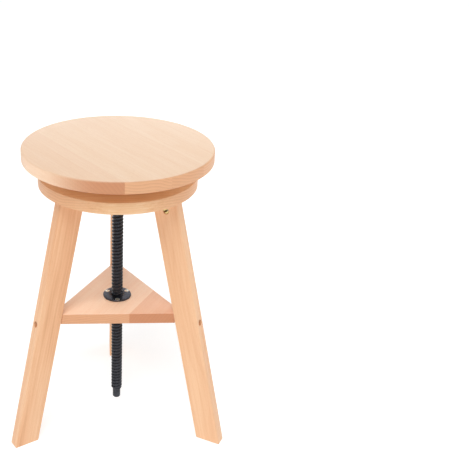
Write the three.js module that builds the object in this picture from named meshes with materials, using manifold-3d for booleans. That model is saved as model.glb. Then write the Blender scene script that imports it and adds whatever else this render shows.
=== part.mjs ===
// An adjustable swivel stool in pale beech with a black steel lifting screw.
//
// A round seat stands on a threaded spindle. The spindle runs in two flanged nuts: one in the round
// support plate and one in the triangular stretcher. Turning the seat winds it up or down.
// Three flat boards, splayed outwards, are the legs. Everything is drawn with the seat wound fully down.
//
// Units are millimetres, +Z is up and the floor is z = 0. The stool is drawn round its screw's axis.
// At the end it is moved along Y, so that the origin is under the middle of its bounding box.

import * as THREE from 'three';
import { mergeVertices } from 'three/addons/utils/BufferGeometryUtils.js';
import Module from 'manifold-3d';

const wasm = await Module();
wasm.setup();

// ---------- driving dimensions ----------

const CONTACT_GAP = 0.3; // left between two pieces that touch
const ARRIS = 1; // sharp edges of the boards are broken by this much

const SEAT_RADIUS = 160;
const SEAT_THICKNESS = 20;
const SEAT_EDGE_ROUND = 3;
const HUB_RADIUS = 89;
const HUB_THICKNESS = 20;
const SEAT_STOP_GAP = 1.7; // between the hub and the upper nut when the seat is wound down

const PLATE_RADIUS = 134;
const PLATE_THICKNESS = 20;
const PLATE_TOP = 485;

const LEG_THICKNESS = 20;
const LEG_WIDTH = 43.5; // square to the leg's length
const LEG_SPLAY = THREE.MathUtils.degToRad(12.7);
const LEG_TOP_REACH = 111; // from the axis to the leg's outer edge, just under the plate

const STRETCHER_TOP = 246;
const STRETCHER_THICKNESS = 19;
const STRETCHER_NOSE = 20; // width of each cut-off corner
const STRETCHER_END_LAG = THREE.MathUtils.degToRad(4); // the ends lean this much less than the legs

const PITCH = 6.5; // single start, right hand
const THREAD_RADIUS = 10;
const THREAD_ROOT_RADIUS = 7.4;
const THREAD_CREST_WIDTH = 2.2;
const THREAD_RADIAL_CLEARANCE = 0.45;
const THREAD_AXIAL_CLEARANCE = 0.3;
const THREAD_STEPS = 12; // facets in one turn
const THREAD_RUN_IN_HUB = 3; // the thread goes on this far into the hub's hole

const SPINDLE_NECK_RADIUS = 8.5;
const SPINDLE_FOOT_HEIGHT = 43.5; // where the thread ends, above the floor
const TIP_RADIUS = 7.2;
const TIP_LENGTH = 17;
const TIP_CHAMFER = 1;
const TIP_STEM_RADIUS = 3;
const TIP_STEM_LENGTH = 12;

const SPINDLE_FLANGE_RADIUS = 30;
const SPINDLE_FLANGE_THICKNESS = 4;
const FLANGE_SCREW_COUNT = 4;
const FLANGE_SCREW_CIRCLE = 21;
const FLANGE_SCREW_LENGTH = 14;
const FLANGE_SCREW_PHASE = 45; // degrees

const NUT_FLANGE_RADIUS = 25;
const NUT_FLANGE_THICKNESS = 3;
const NUT_FLANGE_CHAMFER = 0.8;
const NUT_BARREL_RADIUS = 14;
const NUT_BARREL_LENGTH = 17;
const NUT_SCREW_CIRCLE = 20;
const NUT_SCREW_LENGTH = 15;
const NUT_SCREW_ANGLES = [270, 30, 150]; // degrees

const HUB_SCREW_COUNT = 4;
const HUB_SCREW_CIRCLE = 62;
const HUB_SCREW_LENGTH = 32;
const HUB_SCREW_PHASE = 246; // degrees

const SCREW_HEAD_RADIUS = 4;
const SCREW_HEAD_HEIGHT = 2.4;
const SCREW_SHANK_RADIUS = 2;
const SCREW_POINT_LENGTH = 3;

const BOLT_RADIUS = 3;
const BOLT_HEAD_RADIUS = 5;
const BOLT_HEAD_HEIGHT = 5;
const BOLT_HEAD_CHAMFER = 0.5;
const BOLT_SOCKET_RADIUS = 2.9; // to the corners of the hexagon
const BOLT_SOCKET_DEPTH = 3;
const BOLT_PAST_NUT = 8; // a bolt ends this far past the middle of its barrel nut
const TOP_BOLT_SINK = 2; // depth of the head below the plate's top
const STRETCHER_BOLT_SINK = 7; // depth of the head below the leg's outer edge

const BARREL_NUT_RADIUS = 5;
const BARREL_NUT_LENGTH = 14;
const BARREL_NUT_SINK = 0.6; // depth of its slotted end below the wood
const BARREL_NUT_SLOT_WIDTH = 1.4;
const BARREL_NUT_SLOT_DEPTH = 1.2;
const TOP_NUT_DEPTH = 28.5; // from the leg's top end down to its barrel nut
const STRETCHER_NUT_INSET = 21; // from the stretcher's end in to its barrel nut

const DOWEL_RADIUS = 4;
const DOWEL_IN_PLATE = 10;
const DOWEL_IN_LEG = 16;
const DOWEL_FROM_BOLT = 14.5;
const HOLE_CLEARANCE = 0.3; // radial, of every plain hole

const PAST = 1; // a cutting tool runs this far past the face it opens
const DISC_SIDES = 48; // facets round the seat, the hub and the plate
const BORE_SIDES = 32; // facets round the flanges and the large holes
const SMALL_SIDES = 12; // facets round screws, bolts, dowels and their holes

const LEG_ANGLES = { back: 90, left: 210, right: 330 }; // degrees, counter-clockwise from +X

// ---------- levels and places that follow from them ----------

const PLATE_BOTTOM = PLATE_TOP - PLATE_THICKNESS;
const LEG_TOP = PLATE_BOTTOM - CONTACT_GAP;
const HUB_BOTTOM = PLATE_TOP + CONTACT_GAP + NUT_FLANGE_THICKNESS + SEAT_STOP_GAP;
const HUB_TOP = HUB_BOTTOM + HUB_THICKNESS;
const SEAT_BOTTOM = HUB_TOP + CONTACT_GAP;
const SPINDLE_FLANGE_TOP = HUB_TOP - CONTACT_GAP;
const SPINDLE_FLANGE_BOTTOM = SPINDLE_FLANGE_TOP - SPINDLE_FLANGE_THICKNESS;
const STRETCHER_BOTTOM = STRETCHER_TOP - STRETCHER_THICKNESS;
const STRETCHER_MIDDLE = (STRETCHER_TOP + STRETCHER_BOTTOM) / 2;
const LEG_SECTION = LEG_WIDTH / Math.cos(LEG_SPLAY); // the leg's width measured level

function legOuter(height) {
  return LEG_TOP_REACH + (PLATE_BOTTOM - height) * Math.tan(LEG_SPLAY);
}

function legInner(height) {
  return legOuter(height) - LEG_SECTION;
}

const TOP_NUT_HEIGHT = LEG_TOP - TOP_NUT_DEPTH;
const TOP_BOLT_RADIUS = (legOuter(TOP_NUT_HEIGHT) + legInner(TOP_NUT_HEIGHT)) / 2;
const DOWEL_PLACE = TOP_BOLT_RADIUS - DOWEL_FROM_BOLT;
const STRETCHER_END = legInner(STRETCHER_TOP) - CONTACT_GAP / Math.cos(LEG_SPLAY);
const STRETCHER_NUT_PLACE = STRETCHER_END - STRETCHER_NUT_INSET;

// ---------- solids ----------

function solidFrom(geometry) {
  const bare = geometry.clone();
  bare.deleteAttribute('normal');
  bare.deleteAttribute('uv');
  const merged = mergeVertices(bare, 1e-4);
  return new wasm.Manifold(new wasm.Mesh({
    numProp: 3,
    vertProperties: new Float32Array(merged.attributes.position.array),
    triVerts: new Uint32Array(merged.index.array),
  }));
}

function geometryFrom(solid) {
  const mesh = solid.getMesh();
  const geometry = new THREE.BufferGeometry();
  geometry.setAttribute('position', new THREE.BufferAttribute(new Float32Array(mesh.vertProperties), 3));
  geometry.setIndex(new THREE.BufferAttribute(new Uint32Array(mesh.triVerts), 1));
  geometry.computeVertexNormals();
  return geometry;
}

function cutAll(solid, tools) {
  return tools.reduce((left, tool) => left.subtract(tool), solid);
}

// An upright round solid. points are [radius, height] pairs from the bottom of the axis to its top.
function turned(points, sides) {
  const profile = points.map(([radius, height]) => new THREE.Vector2(radius, height));
  return new THREE.LatheGeometry(profile, sides).rotateX(Math.PI / 2);
}

// An upright cylinder round the axis.
function upright(radius, low, high, sides = SMALL_SIDES) {
  const post = new THREE.CylinderGeometry(radius, radius, high - low, sides);
  return post.rotateX(Math.PI / 2).translate(0, 0, (low + high) / 2);
}

// A level cylinder along X.
function levelX(radius, from, to, height) {
  const post = new THREE.CylinderGeometry(radius, radius, to - from, SMALL_SIDES);
  return post.rotateZ(Math.PI / 2).translate((from + to) / 2, 0, height);
}

function onCircle(radius, degrees) {
  const angle = THREE.MathUtils.degToRad(degrees);
  return [radius * Math.cos(angle), radius * Math.sin(angle)];
}

// Points of a disc's outline, with an arris at the bottom and a round of the given radius at the top.
// A round made in one step is a chamfer.
function discOutline(radius, low, high, round, steps) {
  const points = [[0, low], [radius - ARRIS, low], [radius, low + ARRIS]];
  for (let i = 0; i <= steps; i += 1) {
    const angle = (i / steps) * (Math.PI / 2);
    points.push([radius - round + round * Math.cos(angle), high - round + round * Math.sin(angle)]);
  }
  points.push([0, high]);
  return points;
}

// ---------- the screw thread ----------

// A threaded rod between two levels. Its surface is a net of points wound round the axis:
// for each step round a turn it has the root, the crest's lower edge and the crest's upper edge.
// The same net, made larger by a clearance, cuts the thread in the nuts.
function threadedRod(crestRadius, rootRadius, crestWidth, low, high) {
  const rows = [[rootRadius, -PITCH / 2], [crestRadius, -crestWidth / 2], [crestRadius, crestWidth / 2]];
  const firstTurn = Math.floor(low / PITCH) - 2;
  const lastTurn = Math.ceil(high / PITCH) + 2;
  const rowCount = (lastTurn - firstTurn) * rows.length;
  const points = [];
  const faces = [];
  const columns = rowCount + rows.length + 1;
  const index = (step, row) => (step === THREAD_STEPS ? row + rows.length : step * columns + row);
  for (let step = 0; step < THREAD_STEPS; step += 1) {
    const angle = (2 * Math.PI * step) / THREAD_STEPS;
    for (let row = 0; row < columns; row += 1) {
      const [radius, offset] = rows[row % rows.length];
      const turn = firstTurn + Math.floor(row / rows.length) + step / THREAD_STEPS;
      points.push(radius * Math.cos(angle), radius * Math.sin(angle), turn * PITCH + offset);
    }
  }
  for (let step = 0; step < THREAD_STEPS; step += 1) {
    for (let row = 0; row < rowCount; row += 1) {
      const a = index(step, row);
      const b = index(step + 1, row);
      const c = index(step + 1, row + 1);
      const d = index(step, row + 1);
      faces.push(a, b, c, a, c, d);
    }
  }
  const bottom = points.length / 3;
  points.push(0, 0, firstTurn * PITCH - PITCH);
  const top = bottom + 1;
  points.push(0, 0, lastTurn * PITCH + PITCH);
  for (let step = 0; step < THREAD_STEPS; step += 1) {
    faces.push(bottom, index(step + 1, 0), index(step, 0));
    faces.push(top, index(step, rowCount), index(step + 1, rowCount));
  }
  for (let row = 0; row < rows.length; row += 1) {
    faces.push(bottom, row, row + 1);
    faces.push(top, rowCount + row + 1, rowCount + row);
  }
  const net = new THREE.BufferGeometry();
  net.setAttribute('position', new THREE.Float32BufferAttribute(points, 3));
  net.setIndex(faces);
  return solidFrom(net).intersect(solidFrom(upright(2 * crestRadius, low, high)));
}

// ---------- fasteners, drawn upright with the top of the head at z = 0 ----------

function woodScrew(length) {
  return turned([
    [0, -length],
    [SCREW_SHANK_RADIUS, -length + SCREW_POINT_LENGTH],
    [SCREW_SHANK_RADIUS, -SCREW_HEAD_HEIGHT],
    [SCREW_HEAD_RADIUS, 0],
    [0, 0],
  ], SMALL_SIDES);
}

// The hole for a wood screw: a countersink, a clearance hole and a pilot hole in one tool.
function screwHole(length) {
  const shank = SCREW_SHANK_RADIUS + HOLE_CLEARANCE;
  const head = SCREW_HEAD_RADIUS + HOLE_CLEARANCE;
  return turned([
    [0, -length - CONTACT_GAP],
    [shank, -length - CONTACT_GAP],
    [shank, -SCREW_HEAD_HEIGHT - CONTACT_GAP],
    [head, -CONTACT_GAP],
    [head, PAST],
    [0, PAST],
  ], SMALL_SIDES);
}

function socketBolt(length) {
  const bolt = solidFrom(turned([
    [0, -BOLT_HEAD_HEIGHT - length],
    [BOLT_RADIUS, -BOLT_HEAD_HEIGHT - length],
    [BOLT_RADIUS, -BOLT_HEAD_HEIGHT],
    [BOLT_HEAD_RADIUS, -BOLT_HEAD_HEIGHT],
    [BOLT_HEAD_RADIUS, -BOLT_HEAD_CHAMFER],
    [BOLT_HEAD_RADIUS - BOLT_HEAD_CHAMFER, 0],
    [0, 0],
  ], SMALL_SIDES));
  return geometryFrom(bolt.subtract(solidFrom(upright(BOLT_SOCKET_RADIUS, -BOLT_SOCKET_DEPTH, PAST, 6))));
}

// A barrel nut along +Z with its slotted end at z = 0. The bolt crosses it along X.
function barrelNut(boltDepth) {
  const body = solidFrom(upright(BARREL_NUT_RADIUS, -BARREL_NUT_LENGTH, 0));
  const reach = 2 * BARREL_NUT_RADIUS;
  const slot = new THREE.BoxGeometry(2 * reach, BARREL_NUT_SLOT_WIDTH, 2 * BARREL_NUT_SLOT_DEPTH);
  const bore = levelX(BOLT_RADIUS + HOLE_CLEARANCE, -reach, reach, -boltDepth);
  return geometryFrom(cutAll(body, [solidFrom(slot), solidFrom(bore)]));
}

// ---------- finishes ----------

const BEECH = new THREE.MeshStandardMaterial({ color: 0xe2b48a, roughness: 0.5, metalness: 0 });
const DOWEL_WOOD = new THREE.MeshStandardMaterial({ color: 0xd9b890, roughness: 0.7, metalness: 0 });
const BLACK_STEEL = new THREE.MeshStandardMaterial({ color: 0x1d1d1f, roughness: 0.45, metalness: 0.8 });
const ZINC = new THREE.MeshStandardMaterial({ color: 0xc9c6bd, roughness: 0.3, metalness: 1 });
const BRASSED_STEEL = new THREE.MeshStandardMaterial({ color: 0xb9a06a, roughness: 0.35, metalness: 1 });

function piece(name, geometry, material) {
  const mesh = new THREE.Mesh(geometry, material);
  mesh.name = name;
  return mesh;
}

// ---------- seat, hub and spindle ----------

function placedHoles(count, circle, phase, place) {
  return Array.from({ length: count }, (_, i) => {
    const [x, y] = onCircle(circle, phase + (360 / count) * i);
    return solidFrom(place(x, y));
  });
}

function hubScrewHole(x, y) {
  return screwHole(HUB_SCREW_LENGTH).rotateX(Math.PI).translate(x, y, HUB_BOTTOM);
}

function flangeScrewHole(x, y) {
  return screwHole(FLANGE_SCREW_LENGTH).translate(x, y, SPINDLE_FLANGE_TOP);
}

function hubScrewHoles() {
  return placedHoles(HUB_SCREW_COUNT, HUB_SCREW_CIRCLE, HUB_SCREW_PHASE, hubScrewHole);
}

function flangeScrewHoles() {
  return placedHoles(FLANGE_SCREW_COUNT, FLANGE_SCREW_CIRCLE, FLANGE_SCREW_PHASE, flangeScrewHole);
}

function seatPanel() {
  const outline = discOutline(SEAT_RADIUS, SEAT_BOTTOM, SEAT_BOTTOM + SEAT_THICKNESS, SEAT_EDGE_ROUND, 3);
  return geometryFrom(cutAll(solidFrom(turned(outline, DISC_SIDES)), hubScrewHoles()));
}

function hubDisc() {
  const disc = solidFrom(turned(discOutline(HUB_RADIUS, HUB_BOTTOM, HUB_TOP, ARRIS, 1), DISC_SIDES));
  const recessRadius = SPINDLE_FLANGE_RADIUS + HOLE_CLEARANCE;
  const recess = upright(recessRadius, SPINDLE_FLANGE_BOTTOM - CONTACT_GAP, HUB_TOP + PAST, BORE_SIDES);
  const threadHole = upright(THREAD_RADIUS + HOLE_CLEARANCE, HUB_BOTTOM - PAST, HUB_TOP, BORE_SIDES);
  const bores = [solidFrom(recess), solidFrom(threadHole)];
  return geometryFrom(cutAll(disc, [...bores, ...hubScrewHoles(), ...flangeScrewHoles()]));
}

function spindleFlange() {
  const low = SPINDLE_FLANGE_BOTTOM;
  const disc = solidFrom(upright(SPINDLE_FLANGE_RADIUS, low, SPINDLE_FLANGE_TOP, BORE_SIDES));
  const holeRadius = SPINDLE_NECK_RADIUS + HOLE_CLEARANCE;
  const hole = upright(holeRadius, low - PAST, SPINDLE_FLANGE_TOP + PAST, BORE_SIDES);
  return geometryFrom(cutAll(disc, [solidFrom(hole), ...flangeScrewHoles()]));
}

function spindle() {
  const threadTop = HUB_BOTTOM + THREAD_RUN_IN_HUB;
  const thread = threadedRod(
    THREAD_RADIUS, THREAD_ROOT_RADIUS, THREAD_CREST_WIDTH, SPINDLE_FOOT_HEIGHT, threadTop,
  );
  const neck = upright(SPINDLE_NECK_RADIUS, threadTop - ARRIS, SPINDLE_FLANGE_TOP, 2 * SMALL_SIDES);
  const stemTop = SPINDLE_FOOT_HEIGHT + TIP_STEM_LENGTH + CONTACT_GAP;
  const stemHole = upright(TIP_STEM_RADIUS + HOLE_CLEARANCE, SPINDLE_FOOT_HEIGHT - PAST, stemTop);
  return geometryFrom(thread.add(solidFrom(neck)).subtract(solidFrom(stemHole)));
}

function spindleTip() {
  const top = SPINDLE_FOOT_HEIGHT - CONTACT_GAP;
  const bottom = top - TIP_LENGTH;
  return turned([
    [0, bottom],
    [TIP_RADIUS - TIP_CHAMFER, bottom],
    [TIP_RADIUS, bottom + TIP_CHAMFER],
    [TIP_RADIUS, top],
    [TIP_STEM_RADIUS, top],
    [TIP_STEM_RADIUS, top + TIP_STEM_LENGTH],
    [0, top + TIP_STEM_LENGTH],
  ], 2 * SMALL_SIDES);
}

function seatGroup() {
  const group = new THREE.Group();
  group.add(
    piece('seat_panel', seatPanel(), BEECH),
    piece('hub_disc', hubDisc(), BEECH),
    piece('spindle_flange', spindleFlange(), BLACK_STEEL),
    piece('spindle', spindle(), BLACK_STEEL),
    piece('spindle_tip', spindleTip(), BLACK_STEEL),
  );
  for (let i = 0; i < HUB_SCREW_COUNT; i += 1) {
    const screw = piece(`hub_screw_${i + 1}`, woodScrew(HUB_SCREW_LENGTH), ZINC);
    const [x, y] = onCircle(HUB_SCREW_CIRCLE, HUB_SCREW_PHASE + (360 / HUB_SCREW_COUNT) * i);
    screw.rotation.x = Math.PI;
    screw.position.set(x, y, HUB_BOTTOM + CONTACT_GAP);
    group.add(screw);
  }
  for (let i = 0; i < FLANGE_SCREW_COUNT; i += 1) {
    const screw = piece(`flange_screw_${i + 1}`, woodScrew(FLANGE_SCREW_LENGTH), ZINC);
    const [x, y] = onCircle(FLANGE_SCREW_CIRCLE, FLANGE_SCREW_PHASE + (360 / FLANGE_SCREW_COUNT) * i);
    screw.position.set(x, y, SPINDLE_FLANGE_TOP);
    group.add(screw);
  }
  return group;
}

// ---------- flanged nuts ----------

// The nut that lies on a board whose top is at the given level, with its thread in step with the spindle's.
function flangedNut(boardTop) {
  const seat = boardTop + CONTACT_GAP;
  const top = seat + NUT_FLANGE_THICKNESS;
  const bottom = seat - NUT_BARREL_LENGTH;
  const body = solidFrom(turned([
    [0, bottom],
    [NUT_BARREL_RADIUS, bottom],
    [NUT_BARREL_RADIUS, seat],
    [NUT_FLANGE_RADIUS, seat],
    [NUT_FLANGE_RADIUS, top - NUT_FLANGE_CHAMFER],
    [NUT_FLANGE_RADIUS - NUT_FLANGE_CHAMFER, top],
    [0, top],
  ], BORE_SIDES));
  const tap = threadedRod(
    THREAD_RADIUS + THREAD_RADIAL_CLEARANCE,
    THREAD_ROOT_RADIUS + THREAD_RADIAL_CLEARANCE,
    THREAD_CREST_WIDTH + 2 * THREAD_AXIAL_CLEARANCE,
    bottom - PAST,
    top + PAST,
  );
  return geometryFrom(cutAll(body, [tap, ...nutScrewHoles(boardTop)]));
}

function nutScrewHoles(boardTop) {
  const top = boardTop + CONTACT_GAP + NUT_FLANGE_THICKNESS;
  return NUT_SCREW_ANGLES.map((angle) => {
    const [x, y] = onCircle(NUT_SCREW_CIRCLE, angle);
    return solidFrom(screwHole(NUT_SCREW_LENGTH).translate(x, y, top));
  });
}

function nutHole(boardTop, boardBottom) {
  return upright(NUT_BARREL_RADIUS + HOLE_CLEARANCE, boardBottom - PAST, boardTop + PAST, BORE_SIDES);
}

function nutGroup(name, boardTop) {
  const group = new THREE.Group();
  group.add(piece(name, flangedNut(boardTop), BLACK_STEEL));
  const top = boardTop + CONTACT_GAP + NUT_FLANGE_THICKNESS;
  NUT_SCREW_ANGLES.forEach((angle, i) => {
    const screw = piece(`${name}_screw_${i + 1}`, woodScrew(NUT_SCREW_LENGTH), ZINC);
    const [x, y] = onCircle(NUT_SCREW_CIRCLE, angle);
    screw.position.set(x, y, top);
    group.add(screw);
  });
  return group;
}

// ---------- support plate ----------

const TOP_BOLT_SEAT = PLATE_TOP - TOP_BOLT_SINK - BOLT_HEAD_HEIGHT;

// A tool drawn on the +X side, moved out to its radius and round to a leg's angle.
function atLeg(geometry, radius, degrees) {
  return solidFrom(geometry.translate(radius, 0, 0).rotateZ(THREE.MathUtils.degToRad(degrees)));
}

function supportPlate() {
  const outline = discOutline(PLATE_RADIUS, PLATE_BOTTOM, PLATE_TOP, ARRIS, 1);
  const holes = [solidFrom(nutHole(PLATE_TOP, PLATE_BOTTOM)), ...nutScrewHoles(PLATE_TOP)];
  for (const angle of Object.values(LEG_ANGLES)) {
    const bolt = BOLT_RADIUS + HOLE_CLEARANCE;
    const head = BOLT_HEAD_RADIUS + HOLE_CLEARANCE;
    const dowel = DOWEL_RADIUS + HOLE_CLEARANCE;
    const dowelTop = PLATE_BOTTOM + DOWEL_IN_PLATE + CONTACT_GAP;
    holes.push(
      atLeg(upright(bolt, PLATE_BOTTOM - PAST, PLATE_TOP), TOP_BOLT_RADIUS, angle),
      atLeg(upright(head, TOP_BOLT_SEAT - CONTACT_GAP, PLATE_TOP + PAST), TOP_BOLT_RADIUS, angle),
      atLeg(upright(dowel, PLATE_BOTTOM - PAST, dowelTop), DOWEL_PLACE, angle),
    );
  }
  return geometryFrom(cutAll(solidFrom(turned(outline, DISC_SIDES)), holes));
}

// ---------- legs: drawn along +X, with the board's faces square to Y ----------

// A flat board of the given outline, from z = 0 to its thickness, with every edge broken by the arris.
function board(corners, thickness) {
  const geometry = new THREE.ExtrudeGeometry(new THREE.Shape(corners), {
    depth: thickness - 2 * ARRIS,
    bevelEnabled: true,
    bevelThickness: ARRIS,
    bevelSize: ARRIS,
    bevelOffset: -ARRIS,
    bevelSegments: 1,
  });
  return geometry.translate(0, 0, ARRIS);
}

const LEG_BOLT_SEAT = legOuter(STRETCHER_MIDDLE) - STRETCHER_BOLT_SINK - BOLT_HEAD_HEIGHT;
const NUT_FACE = -LEG_THICKNESS / 2 + BARREL_NUT_SINK; // the slotted end of a leg's barrel nut, along Y

function legBoard() {
  const outline = [
    new THREE.Vector2(legInner(0), 0),
    new THREE.Vector2(legOuter(0), 0),
    new THREE.Vector2(legOuter(LEG_TOP), LEG_TOP),
    new THREE.Vector2(legInner(LEG_TOP), LEG_TOP),
  ];
  const wood = board(outline, LEG_THICKNESS).rotateX(Math.PI / 2).translate(0, LEG_THICKNESS / 2, 0);
  const bolt = BOLT_RADIUS + HOLE_CLEARANCE;
  const head = BOLT_HEAD_RADIUS + HOLE_CLEARANCE;
  const nut = BARREL_NUT_RADIUS + HOLE_CLEARANCE;
  const boltEnd = TOP_NUT_HEIGHT - BOLT_PAST_NUT - CONTACT_GAP;
  const nutDepth = BARREL_NUT_LENGTH + BARREL_NUT_SINK + CONTACT_GAP;
  const nutPocket = upright(nut, -nutDepth, PAST).rotateX(Math.PI / 2);
  nutPocket.translate(TOP_BOLT_RADIUS, -LEG_THICKNESS / 2, TOP_NUT_HEIGHT);
  const dowelEnd = LEG_TOP - DOWEL_IN_LEG - CONTACT_GAP;
  const dowelHole = upright(DOWEL_RADIUS + HOLE_CLEARANCE, dowelEnd, LEG_TOP + PAST);
  dowelHole.translate(DOWEL_PLACE, 0, 0);
  // the level holes meet the leg's sloping edges, so they start and end past the whole slope
  const farIn = legInner(STRETCHER_TOP) - 2 * head;
  const farOut = legOuter(STRETCHER_BOTTOM) + 2 * head;
  return geometryFrom(cutAll(solidFrom(wood), [
    solidFrom(upright(bolt, boltEnd, LEG_TOP + PAST).translate(TOP_BOLT_RADIUS, 0, 0)),
    solidFrom(nutPocket),
    solidFrom(dowelHole),
    solidFrom(levelX(bolt, farIn, farOut, STRETCHER_MIDDLE)),
    solidFrom(levelX(head, LEG_BOLT_SEAT - CONTACT_GAP, farOut, STRETCHER_MIDDLE)),
  ]));
}

function legGroup(side) {
  const group = new THREE.Group();
  group.rotation.z = THREE.MathUtils.degToRad(LEG_ANGLES[side]);

  const depth = TOP_BOLT_SEAT - TOP_NUT_HEIGHT + BOLT_PAST_NUT;
  const topBolt = piece(`top_bolt_${side}`, socketBolt(depth), ZINC);
  topBolt.position.set(TOP_BOLT_RADIUS, 0, TOP_BOLT_SEAT + BOLT_HEAD_HEIGHT);

  // the nut lies across the board, its slotted end towards -Y, and the bolt comes to it from above
  const topNut = piece(`top_barrel_nut_${side}`, barrelNut(-NUT_FACE).rotateZ(Math.PI / 2), BRASSED_STEEL);
  topNut.rotation.x = Math.PI / 2;
  topNut.position.set(TOP_BOLT_RADIUS, NUT_FACE, TOP_NUT_HEIGHT);

  const dowelLength = DOWEL_IN_PLATE + DOWEL_IN_LEG + CONTACT_GAP;
  const dowel = piece(`leg_dowel_${side}`, upright(DOWEL_RADIUS, 0, dowelLength), DOWEL_WOOD);
  dowel.position.set(DOWEL_PLACE, 0, LEG_TOP - DOWEL_IN_LEG);

  const reach = LEG_BOLT_SEAT - STRETCHER_NUT_PLACE + BOLT_PAST_NUT;
  const sideBolt = piece(`stretcher_bolt_${side}`, socketBolt(reach), ZINC);
  sideBolt.rotation.y = Math.PI / 2;
  sideBolt.position.set(LEG_BOLT_SEAT + BOLT_HEAD_HEIGHT, 0, STRETCHER_MIDDLE);

  const nutFace = STRETCHER_BOTTOM + BARREL_NUT_SINK;
  const sideNutShape = barrelNut(STRETCHER_MIDDLE - nutFace);
  const sideNut = piece(`stretcher_barrel_nut_${side}`, sideNutShape, BRASSED_STEEL);
  sideNut.rotation.x = Math.PI;
  sideNut.position.set(STRETCHER_NUT_PLACE, 0, nutFace);

  group.add(piece(`leg_${side}`, legBoard(), BEECH), topBolt, topNut, dowel, sideBolt, sideNut);
  return group;
}

// ---------- stretcher ----------

// The corners of the triangle whose sides run from one leg to the next. Each is cut off to the given
// width at the given distance from the axis.
function triangleCorners(reach, nose) {
  return Object.values(LEG_ANGLES).flatMap((degrees) => {
    const angle = THREE.MathUtils.degToRad(degrees);
    const across = new THREE.Vector2(-Math.sin(angle), Math.cos(angle));
    const end = new THREE.Vector2(Math.cos(angle), Math.sin(angle)).multiplyScalar(reach);
    return [end.clone().addScaledVector(across, -nose / 2), end.clone().addScaledVector(across, nose / 2)];
  });
}

// The block that cuts a stretcher's end back to its leaning face. The face meets the origin.
function endSaw() {
  const block = 4 * STRETCHER_THICKNESS;
  const saw = new THREE.BoxGeometry(block, block, block).translate(block / 2, 0, 0);
  return saw.rotateY(STRETCHER_END_LAG - LEG_SPLAY).translate(0, 0, STRETCHER_TOP);
}

function stretcher() {
  // the corners are drawn further out and narrower, on the same sides, and the saw then cuts them back
  const overrun = STRETCHER_NOSE / 4;
  const noseThere = STRETCHER_NOSE - 2 * overrun * Math.tan(Math.PI / 6);
  const corners = triangleCorners(STRETCHER_END + overrun, noseThere);
  const slab = board(corners, STRETCHER_THICKNESS).translate(0, 0, STRETCHER_BOTTOM);
  const tools = [solidFrom(nutHole(STRETCHER_TOP, STRETCHER_BOTTOM)), ...nutScrewHoles(STRETCHER_TOP)];
  const bolt = BOLT_RADIUS + HOLE_CLEARANCE;
  const nut = BARREL_NUT_RADIUS + HOLE_CLEARANCE;
  const nutTop = STRETCHER_BOTTOM + BARREL_NUT_SINK + BARREL_NUT_LENGTH + CONTACT_GAP;
  const boltEnd = STRETCHER_NUT_PLACE - BOLT_PAST_NUT - CONTACT_GAP;
  for (const angle of Object.values(LEG_ANGLES)) {
    tools.push(
      atLeg(endSaw(), STRETCHER_END, angle),
      atLeg(levelX(bolt, boltEnd, STRETCHER_END + 2 * overrun, STRETCHER_MIDDLE), 0, angle),
      atLeg(upright(nut, STRETCHER_BOTTOM - PAST, nutTop), STRETCHER_NUT_PLACE, angle),
    );
  }
  return geometryFrom(cutAll(solidFrom(slab), tools));
}

// ---------- the stool ----------

const stool = new THREE.Group();
stool.add(
  seatGroup(),
  piece('support_plate', supportPlate(), BEECH),
  piece('stretcher', stretcher(), BEECH),
  nutGroup('plate_nut', PLATE_TOP),
  nutGroup('stretcher_nut', STRETCHER_TOP),
  ...Object.keys(LEG_ANGLES).map(legGroup),
);

// the left and right feet point 30 degrees forward of the X axis
const footFront = legOuter(0) * Math.sin(Math.PI / 6) + (LEG_THICKNESS / 2) * Math.cos(Math.PI / 6);
const backReach = Math.max(legOuter(0), SEAT_RADIUS);
const frontReach = Math.max(footFront, SEAT_RADIUS);
stool.position.y = (frontReach - backReach) / 2;

export default stool;
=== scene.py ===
# %% [markdown]
# # A beech stool that winds up and down
#
# The stool has a round seat on a black steel screw. The screw runs through two flanged nuts, one in a
# round plate on top of the legs and one in a triangular stretcher between them. The CAD model already
# says where every piece is and how it moves. This lesson gives each piece its real surface: rounded
# boards with holes in them, a smooth thread, cross-head screws, and wood that has a grain.

# %% Load the frame
import math
from collections import namedtuple

import bmesh
import bpy
from mathutils import Matrix, Vector


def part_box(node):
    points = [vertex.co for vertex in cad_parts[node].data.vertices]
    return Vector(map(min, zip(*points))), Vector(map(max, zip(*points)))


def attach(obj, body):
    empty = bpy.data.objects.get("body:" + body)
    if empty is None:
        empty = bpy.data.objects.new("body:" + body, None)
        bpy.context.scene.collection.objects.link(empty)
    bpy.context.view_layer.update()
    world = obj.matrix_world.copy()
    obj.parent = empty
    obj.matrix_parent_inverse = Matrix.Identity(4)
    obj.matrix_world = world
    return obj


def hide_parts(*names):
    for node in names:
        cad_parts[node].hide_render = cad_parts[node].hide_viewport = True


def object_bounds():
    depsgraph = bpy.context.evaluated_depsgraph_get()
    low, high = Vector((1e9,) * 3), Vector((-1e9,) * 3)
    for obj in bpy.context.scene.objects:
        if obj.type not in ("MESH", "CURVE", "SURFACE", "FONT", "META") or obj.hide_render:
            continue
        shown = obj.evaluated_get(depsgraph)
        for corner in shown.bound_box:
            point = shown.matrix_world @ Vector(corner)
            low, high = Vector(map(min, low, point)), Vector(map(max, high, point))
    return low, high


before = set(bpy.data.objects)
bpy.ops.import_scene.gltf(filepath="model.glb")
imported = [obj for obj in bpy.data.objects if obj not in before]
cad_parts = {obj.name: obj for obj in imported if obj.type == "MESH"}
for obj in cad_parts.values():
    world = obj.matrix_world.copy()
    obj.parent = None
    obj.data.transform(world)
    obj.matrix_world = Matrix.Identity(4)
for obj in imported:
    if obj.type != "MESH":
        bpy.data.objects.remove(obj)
bpy.context.view_layer.update()
cad_low, cad_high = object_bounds()
MM = 0.001
FULL_TURN = 2 * math.pi
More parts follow.
